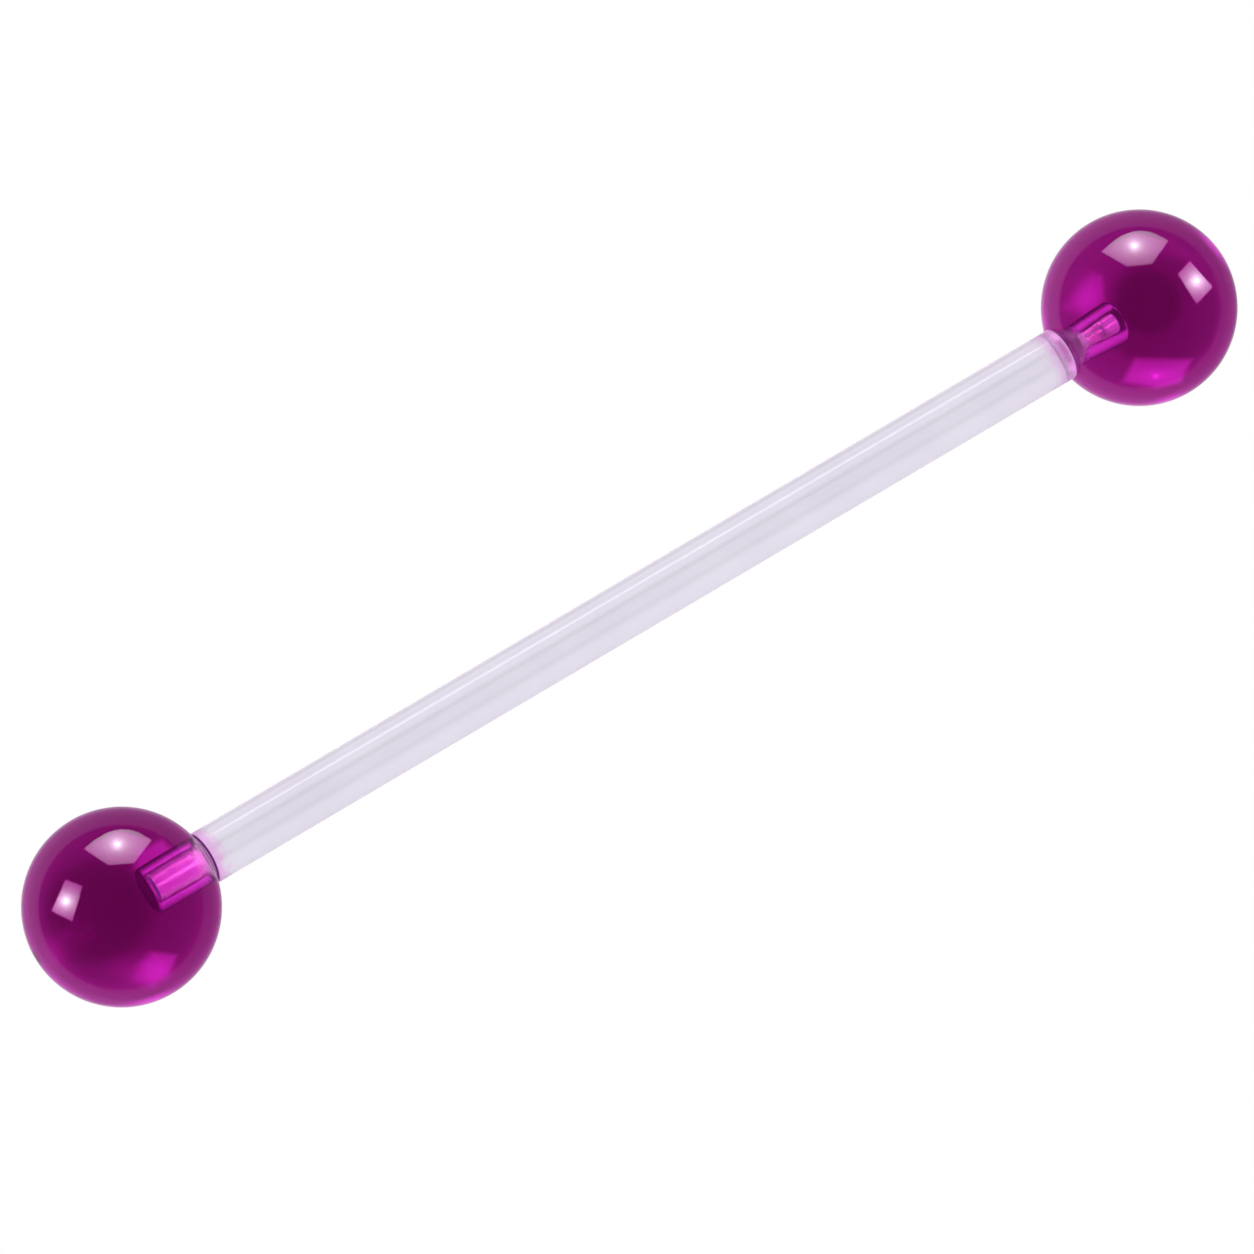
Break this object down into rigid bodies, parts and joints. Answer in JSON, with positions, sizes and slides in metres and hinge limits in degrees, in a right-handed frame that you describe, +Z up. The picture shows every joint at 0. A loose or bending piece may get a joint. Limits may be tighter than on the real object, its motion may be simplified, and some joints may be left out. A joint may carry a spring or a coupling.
{
  "type": "piercing retainer",
  "caption": "Long straight clear plastic piercing bar with a see-through purple ball seated on a thin pin at each end.",
  "frame": {"origin": "on the surface that the two balls rest on, straight below the middle of the bar", "axes": "+X along the bar towards the far ball, +Z up from the surface"},
  "size_m": [0.0438, 0.006, 0.006],
  "materials": {
    "bar_plastic": "clear flexible plastic with a faint lavender cast, smooth, with fine lengthwise draw lines",
    "ball_acrylic": "polished see-through purple acrylic"
  },
  "bodies": {
    "bar": {"bar": "bar_plastic"},
    "left_ball": {"ball_left": "ball_acrylic"},
    "right_ball": {"ball_right": "ball_acrylic"}
  },
  "joints": [
    {"name": "ball_left_pull", "type": "slide", "parent": "bar", "child": "left_ball", "axis": [-1, 0, 0], "range_m": [0, 0.003]},
    {"name": "ball_right_pull", "type": "slide", "parent": "bar", "child": "right_ball", "axis": [1, 0, 0], "range_m": [0, 0.003]}
  ]
}
